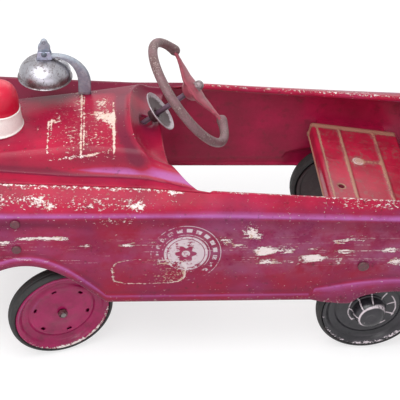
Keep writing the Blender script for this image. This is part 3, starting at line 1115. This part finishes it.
dome += [(beacon["lens"] * sin(a) ** 0.62, beacon["lensFoot"] + beacon["lensHigh"] * cos(a) ** 0.78)
         for a in [radians(k) for k in range(87, 4, -3)]] + [(0, beacon["lensFoot"] + beacon["lensHigh"])]
turnedPiece("BeaconLens", dome, atBeacon, beacon["steps"], "beacon_red", "chassis", "beacon_lens")
print("beacon made")

# domed heads over the bolts that hold the seat, and over the screws at the nose
bolts = dict(seat_bolts=(10.5, 3.6), nose_screws=(8.5, 2.6), apart=24, flat=1.5, sunk=1.6)
dome = [(1, 0), (1, 0.6), (0.86, 1), (0.6, 1), (0.42, 0.8), (0.2, 0.95), (0, 1)]
for node in ("seat_bolts", "nose_screws"):
    size, high = bolts[node]
    spots = [v.co * 1000 for v in frame["nodes"][node].data.vertices]
    heads = []
    for p in spots:  # one point of each head
        if not any((p - q).length < bolts["apart"] for q in heads):
            heads.append(p)
    for k, q in enumerate(heads):
        near = [p for p in spots if (p - q).length < bolts["apart"]]
        side = 1 if q.y > 0 else -1
        reach = max(p.y * side for p in near) * side
        outer = [p for p in near if abs(p.y - reach) < bolts["flat"]]
        middle = sum(outer, Vector()) / len(outer)
        at = facing((middle.x, reach - side * bolts["sunk"], middle.z), (0, side, 0), (0, 0, 1))
        cap = [(r * size, h * high) for r, h in dome]
        turnedPiece("%s_head_%d" % (node, k), cap, at, 40, "screw", "chassis", slot=slotOf[node])
print("bolt heads made")

# camera, lights and floor
studio = dict(camera=(214.29, 1730.97, 1615.17), turns=(51.1171, -3.0326, 175.9543), lens=100.4, sensor=36,
              nearest=0.05, farthest=50, key=64, strip=12, back=18, sky=0.5, floorGlow=0.68, floorHalf=6,
              floorDrop=0.001)  # turns: the camera's turns about X, Y and Z in degrees
camera = bpy.data.objects.new("Camera", bpy.data.cameras.new("Camera"))
bpy.context.scene.collection.objects.link(camera)
aim = Euler([radians(turn) for turn in studio["turns"]])
camera.matrix_world = moved(*studio["camera"]) @ aim.to_matrix().to_4x4()
camera.data.lens, camera.data.sensor_width = studio["lens"], studio["sensor"]
camera.data.clip_start, camera.data.clip_end = studio["nearest"], studio["farthest"]
bpy.context.scene.camera = camera


def areaLight(name, place, target, size, power, colour=(1, 1, 1)):
    light = bpy.data.lights.new(name, "AREA")
    light.shape, light.size, light.size_y, light.energy, light.color = "RECTANGLE", *size, power, colour
    thing = bpy.data.objects.new(name, light)
    thing.location = place
    thing.rotation_euler = (Vector(place) - Vector(target)).to_track_quat("Z", "Y").to_euler()
    bpy.context.scene.collection.objects.link(thing)
    thing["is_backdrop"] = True


areaLight("Key", (0.9, 0.7, 2.6), (0, 0, 0.2), (2.2, 2.2), studio["key"])
areaLight("Strip", (0.1, 2.6, 1.5), (0, 0.1, 0.3), (3.4, 0.5), studio["strip"], (1.0, 0.86, 0.97))
areaLight("Back", (-0.4, -2.6, 1.9), (0, 0, 0.3), (2.6, 1.0), studio["back"])

floor = bpy.data.objects.new("Floor", bpy.data.meshes.new("Floor"))
shape = bmesh.new()
bmesh.ops.create_grid(shape, x_segments=1, y_segments=1, size=studio["floorHalf"])
shape.to_mesh(floor.data)
shape.free()
floor.location.z = -studio["floorDrop"]
bpy.context.scene.collection.objects.link(floor)
floor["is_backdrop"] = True
net = Net("Floor")
floor.data.materials.append(net.finish((0.8, 0.8, 0.8), 0.9))
pale = net.tree.nodes.new("ShaderNodeBsdfPrincipled")  # the floor as the camera sees it, with a little glow
for name, value in (("Base Color", (0.36, 0.36, 0.36, 1)), ("Roughness", 0.9),
                    ("Emission Color", (1, 1, 1, 1)), ("Emission Strength", studio["floorGlow"])):
    pale.inputs[name].default_value = value
world = bpy.data.worlds.new("World")
bpy.context.scene.world = world
world.use_nodes = True
dim = world.node_tree.nodes["Background"]
dim.inputs["Color"].default_value, dim.inputs["Strength"].default_value = (0.9, 0.9, 0.93, 1), studio["sky"]
white = world.node_tree.nodes.new("ShaderNodeBackground")
white.inputs["Color"].default_value = (1, 1, 1, 1)


def forCamera(tree, plain, seen, output):  # one shader lights the object, another is what the camera sees
    path, blend = tree.nodes.new("ShaderNodeLightPath"), tree.nodes.new("ShaderNodeMixShader")
    seenBy = path.outputs["Is Camera Ray"]
    for ray in ("Is Glossy Ray", "Is Transmission Ray"):
        both = tree.nodes.new("ShaderNodeMath")
        both.operation = "MAXIMUM"
        tree.links.new(seenBy, both.inputs[0])
        tree.links.new(path.outputs[ray], both.inputs[1])
        seenBy = both.outputs[0]
    for source, socket in ((seenBy, 0), (plain.outputs[0], 1), (seen.outputs[0], 2)):
        tree.links.new(source, blend.inputs[socket])
    tree.links.new(blend.outputs[0], tree.nodes[output].inputs[0])


forCamera(net.tree, net.shader, pale, "Material Output")
forCamera(world.node_tree, dim, white, "World Output")
bpy.context.scene.view_settings.view_transform = "Standard"

low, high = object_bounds()
print("scene done")
